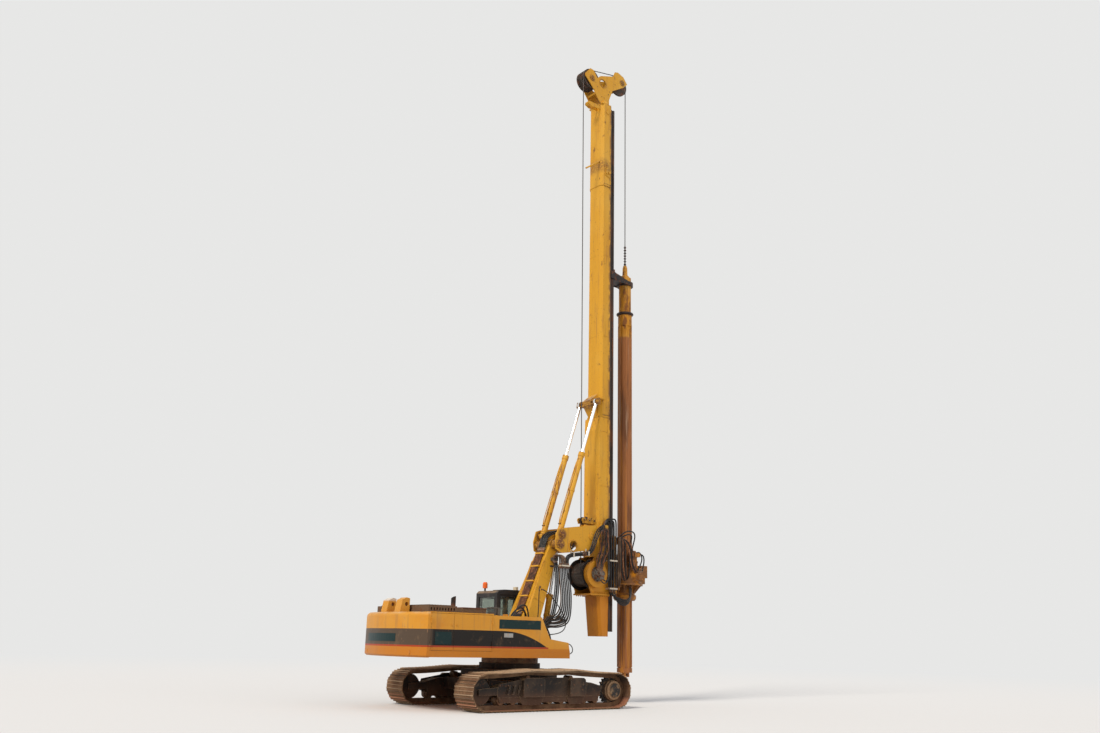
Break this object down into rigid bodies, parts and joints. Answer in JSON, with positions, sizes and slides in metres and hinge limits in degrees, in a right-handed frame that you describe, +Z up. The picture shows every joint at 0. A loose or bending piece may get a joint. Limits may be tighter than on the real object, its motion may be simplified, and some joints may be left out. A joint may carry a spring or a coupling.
{
  "type": "excavator-mounted rotary drilling rig",
  "caption": "Crawler drilling rig: tracked base, slewing house with cab, boom and cradle carrying a tall mast with a rotary head, kelly bar, winch and head sheaves.",
  "frame": {"origin": "on the ground under the middle of the machine's box", "axes": "+X forward, towards the mast; +Y left, the cab's side; +Z up"},
  "size_m": [8.8628, 4.04, 20.562],
  "materials": {
    "yellow_paint": "weathered yellow enamel with rust at the edges",
    "house_paint": "yellow enamel with a dark band and a thin red line",
    "black_paint": "satin black, dusty",
    "base_paint": "black undercarriage paint under dried dust",
    "shoe_steel": "worn steel under dry earth",
    "roller_steel": "rusty dusty steel",
    "rail_steel": "greasy dark steel",
    "kelly_steel": "rust-brown steel",
    "rod_chrome": "hard chrome",
    "rope_wire": "greased wire rope",
    "hose_rubber": "rusty brown braided hose",
    "window_glass": "tinted safety glass",
    "engine_iron": "painted casting",
    "seat_cloth": "dark woven cloth",
    "beacon_lens": "orange lens",
    "sheave_steel": "rusty dark casting"
  },
  "bodies": {
    "base": {"track_right": "shoe_steel", "track_left": "shoe_steel", "track_frame_right": "base_paint", "track_frame_left": "base_paint", "rollers": "roller_steel", "idlers": "base_paint", "sprockets": "base_paint", "carbody": "base_paint", "slewing_ring": "roller_steel"},
    "house": {"deck": "house_paint", "counterweight": "house_paint", "bay_walls": "house_paint", "engine": "engine_iron", "exhaust": "black_paint", "tank": "house_paint", "step_box": "house_paint", "left_box": "house_paint", "handrails": "black_paint", "cab_shell": "black_paint", "cab_glass": "window_glass", "seat": "seat_cloth", "beacon": "beacon_lens"},
    "right_rear_door": {"right_rear_door": "house_paint"},
    "right_front_door": {"right_front_door": "house_paint"},
    "left_rear_door": {"left_rear_door": "house_paint"},
    "left_front_door": {"left_front_door": "house_paint"},
    "hood": {"hood": "black_paint"},
    "cab_door": {"cab_door": "black_paint", "door_glass": "window_glass"},
    "boom": {"boom": "yellow_paint", "boom_hoses": "hose_rubber"},
    "lift_barrels": {"lift_barrels": "yellow_paint"},
    "lift_rods": {"lift_rods": "rod_chrome"},
    "cradle": {"cradle": "yellow_paint"},
    "raise_barrels": {"raise_barrels": "yellow_paint"},
    "raise_rods": {"raise_rods": "rod_chrome"},
    "mast": {"mast_lower": "yellow_paint", "mast_upper": "yellow_paint", "mast_foot": "yellow_paint", "mast_rails": "rail_steel", "winch_frame": "yellow_paint", "winch_motor": "black_paint", "mast_head": "yellow_paint", "winch_rope": "rope_wire", "kelly_rope": "rope_wire", "kelly_guide": "black_paint", "swivel": "sheave_steel", "crowd_barrel": "yellow_paint"},
    "winch_drum": {"winch_drum": "sheave_steel"},
    "front_sheave": {"front_sheave": "sheave_steel"},
    "rear_sheaves": {"rear_sheaves": "sheave_steel"},
    "rotary": {"rotary_carriage": "yellow_paint", "rotary_body": "yellow_paint", "rotary_motors": "black_paint", "crowd_rod": "rod_chrome"},
    "kelly": {"kelly_bar": "kelly_steel", "kelly_stub": "kelly_steel"}
  },
  "joints": [
    {"name": "slew", "type": "hinge", "parent": "base", "child": "house", "pos_m": [-0.5315, 0, 1.26], "axis": [0, 0, 1], "continuous": true},
    {"name": "right_rear_door_hinge", "type": "hinge", "parent": "house", "child": "right_rear_door", "pos_m": [-4.0185, -1.513, 1.845], "axis": [0, 0, 1], "range_deg": [-120, 0]},
    {"name": "right_front_door_hinge", "type": "hinge", "parent": "house", "child": "right_front_door", "pos_m": [-2.2185, -1.513, 1.845], "axis": [0, 0, 1], "range_deg": [0, 120]},
    {"name": "left_rear_door_hinge", "type": "hinge", "parent": "house", "child": "left_rear_door", "pos_m": [-4.0185, 1.513, 1.845], "axis": [0, 0, 1], "range_deg": [0, 120]},
    {"name": "left_front_door_hinge", "type": "hinge", "parent": "house", "child": "left_front_door", "pos_m": [-2.2185, 1.513, 1.845], "axis": [0, 0, 1], "range_deg": [-120, 0]},
    {"name": "hood_hinge", "type": "hinge", "parent": "house", "child": "hood", "pos_m": [-3.1185, 0, 2.329], "axis": [0, 1, 0], "range_deg": [0, 70]},
    {"name": "cab_door_hinge", "type": "hinge", "parent": "house", "child": "cab_door", "pos_m": [-0.5485, 1.513, 2.2], "axis": [0, 0, 1], "range_deg": [0, 150]},
    {"name": "boom_lift", "type": "hinge", "parent": "house", "child": "boom", "pos_m": [-0.2915, 0, 1.9], "axis": [0, 1, 0], "range_deg": [-6, 12]},
    {"name": "lift_barrel_swing", "type": "hinge", "parent": "house", "child": "lift_barrels", "pos_m": [0.4285, 0, 1.7], "axis": [0, 1, 0], "range_deg": [-5.94, 11.88]},
    {"name": "lift_rod_stroke", "type": "slide", "parent": "lift_barrels", "child": "lift_rods", "axis": [0.1676, 0, 0.9859], "range_m": [-0.1563, 0.07825]},
    {"name": "cradle_level", "type": "hinge", "parent": "boom", "child": "cradle", "pos_m": [0.7335, 0, 4.339], "axis": [0, 1, 0], "range_deg": [-12.01, 6.01]},
    {"name": "mast_tilt", "type": "hinge", "parent": "cradle", "child": "mast", "pos_m": [1.9385, 0, 4.64], "axis": [0, 1, 0], "range_deg": [-15, 5]},
    {"name": "raise_barrel_swing", "type": "hinge", "parent": "cradle", "child": "raise_barrels", "pos_m": [0.8035, 0, 4.607], "axis": [0, 1, 0], "range_deg": [-13.97, 4.67]},
    {"name": "raise_rod_stroke", "type": "slide", "parent": "raise_barrels", "child": "raise_rods", "axis": [0.3146, 0, 0.9492], "range_m": [-0.28675, 0.09572]},
    {"name": "winch_turn", "type": "hinge", "parent": "mast", "child": "winch_drum", "pos_m": [2.1785, 0, 3.59], "axis": [0, 1, 0], "continuous": true},
    {"name": "front_sheave_turn", "type": "hinge", "parent": "mast", "child": "front_sheave", "pos_m": [3.3492, 0, 20.19], "axis": [0, 1, 0], "continuous": true},
    {"name": "rear_sheave_turn", "type": "hinge", "parent": "mast", "child": "rear_sheaves", "pos_m": [1.9885, 0, 19.84], "axis": [0, 1, 0], "continuous": true},
    {"name": "rotary_crowd", "type": "slide", "parent": "mast", "child": "rotary", "axis": [0, 0, 1], "range_m": [-0.9, 4]},
    {"name": "kelly_turn", "type": "hinge", "parent": "mast", "child": "kelly", "pos_m": [3.7015, 0, 5], "axis": [0, 0, 1], "continuous": true}
  ],
  "couplings": [
    {"joint": "lift_barrel_swing", "follows": "boom_lift", "ratio": 0.98907},
    {"joint": "lift_rod_stroke", "follows": "boom_lift", "m_per_rad": -0.74531},
    {"joint": "cradle_level", "follows": "boom_lift", "ratio": -1},
    {"joint": "raise_barrel_swing", "follows": "mast_tilt", "ratio": 0.93099},
    {"joint": "raise_rod_stroke", "follows": "mast_tilt", "m_per_rad": 1.0945}
  ]
}
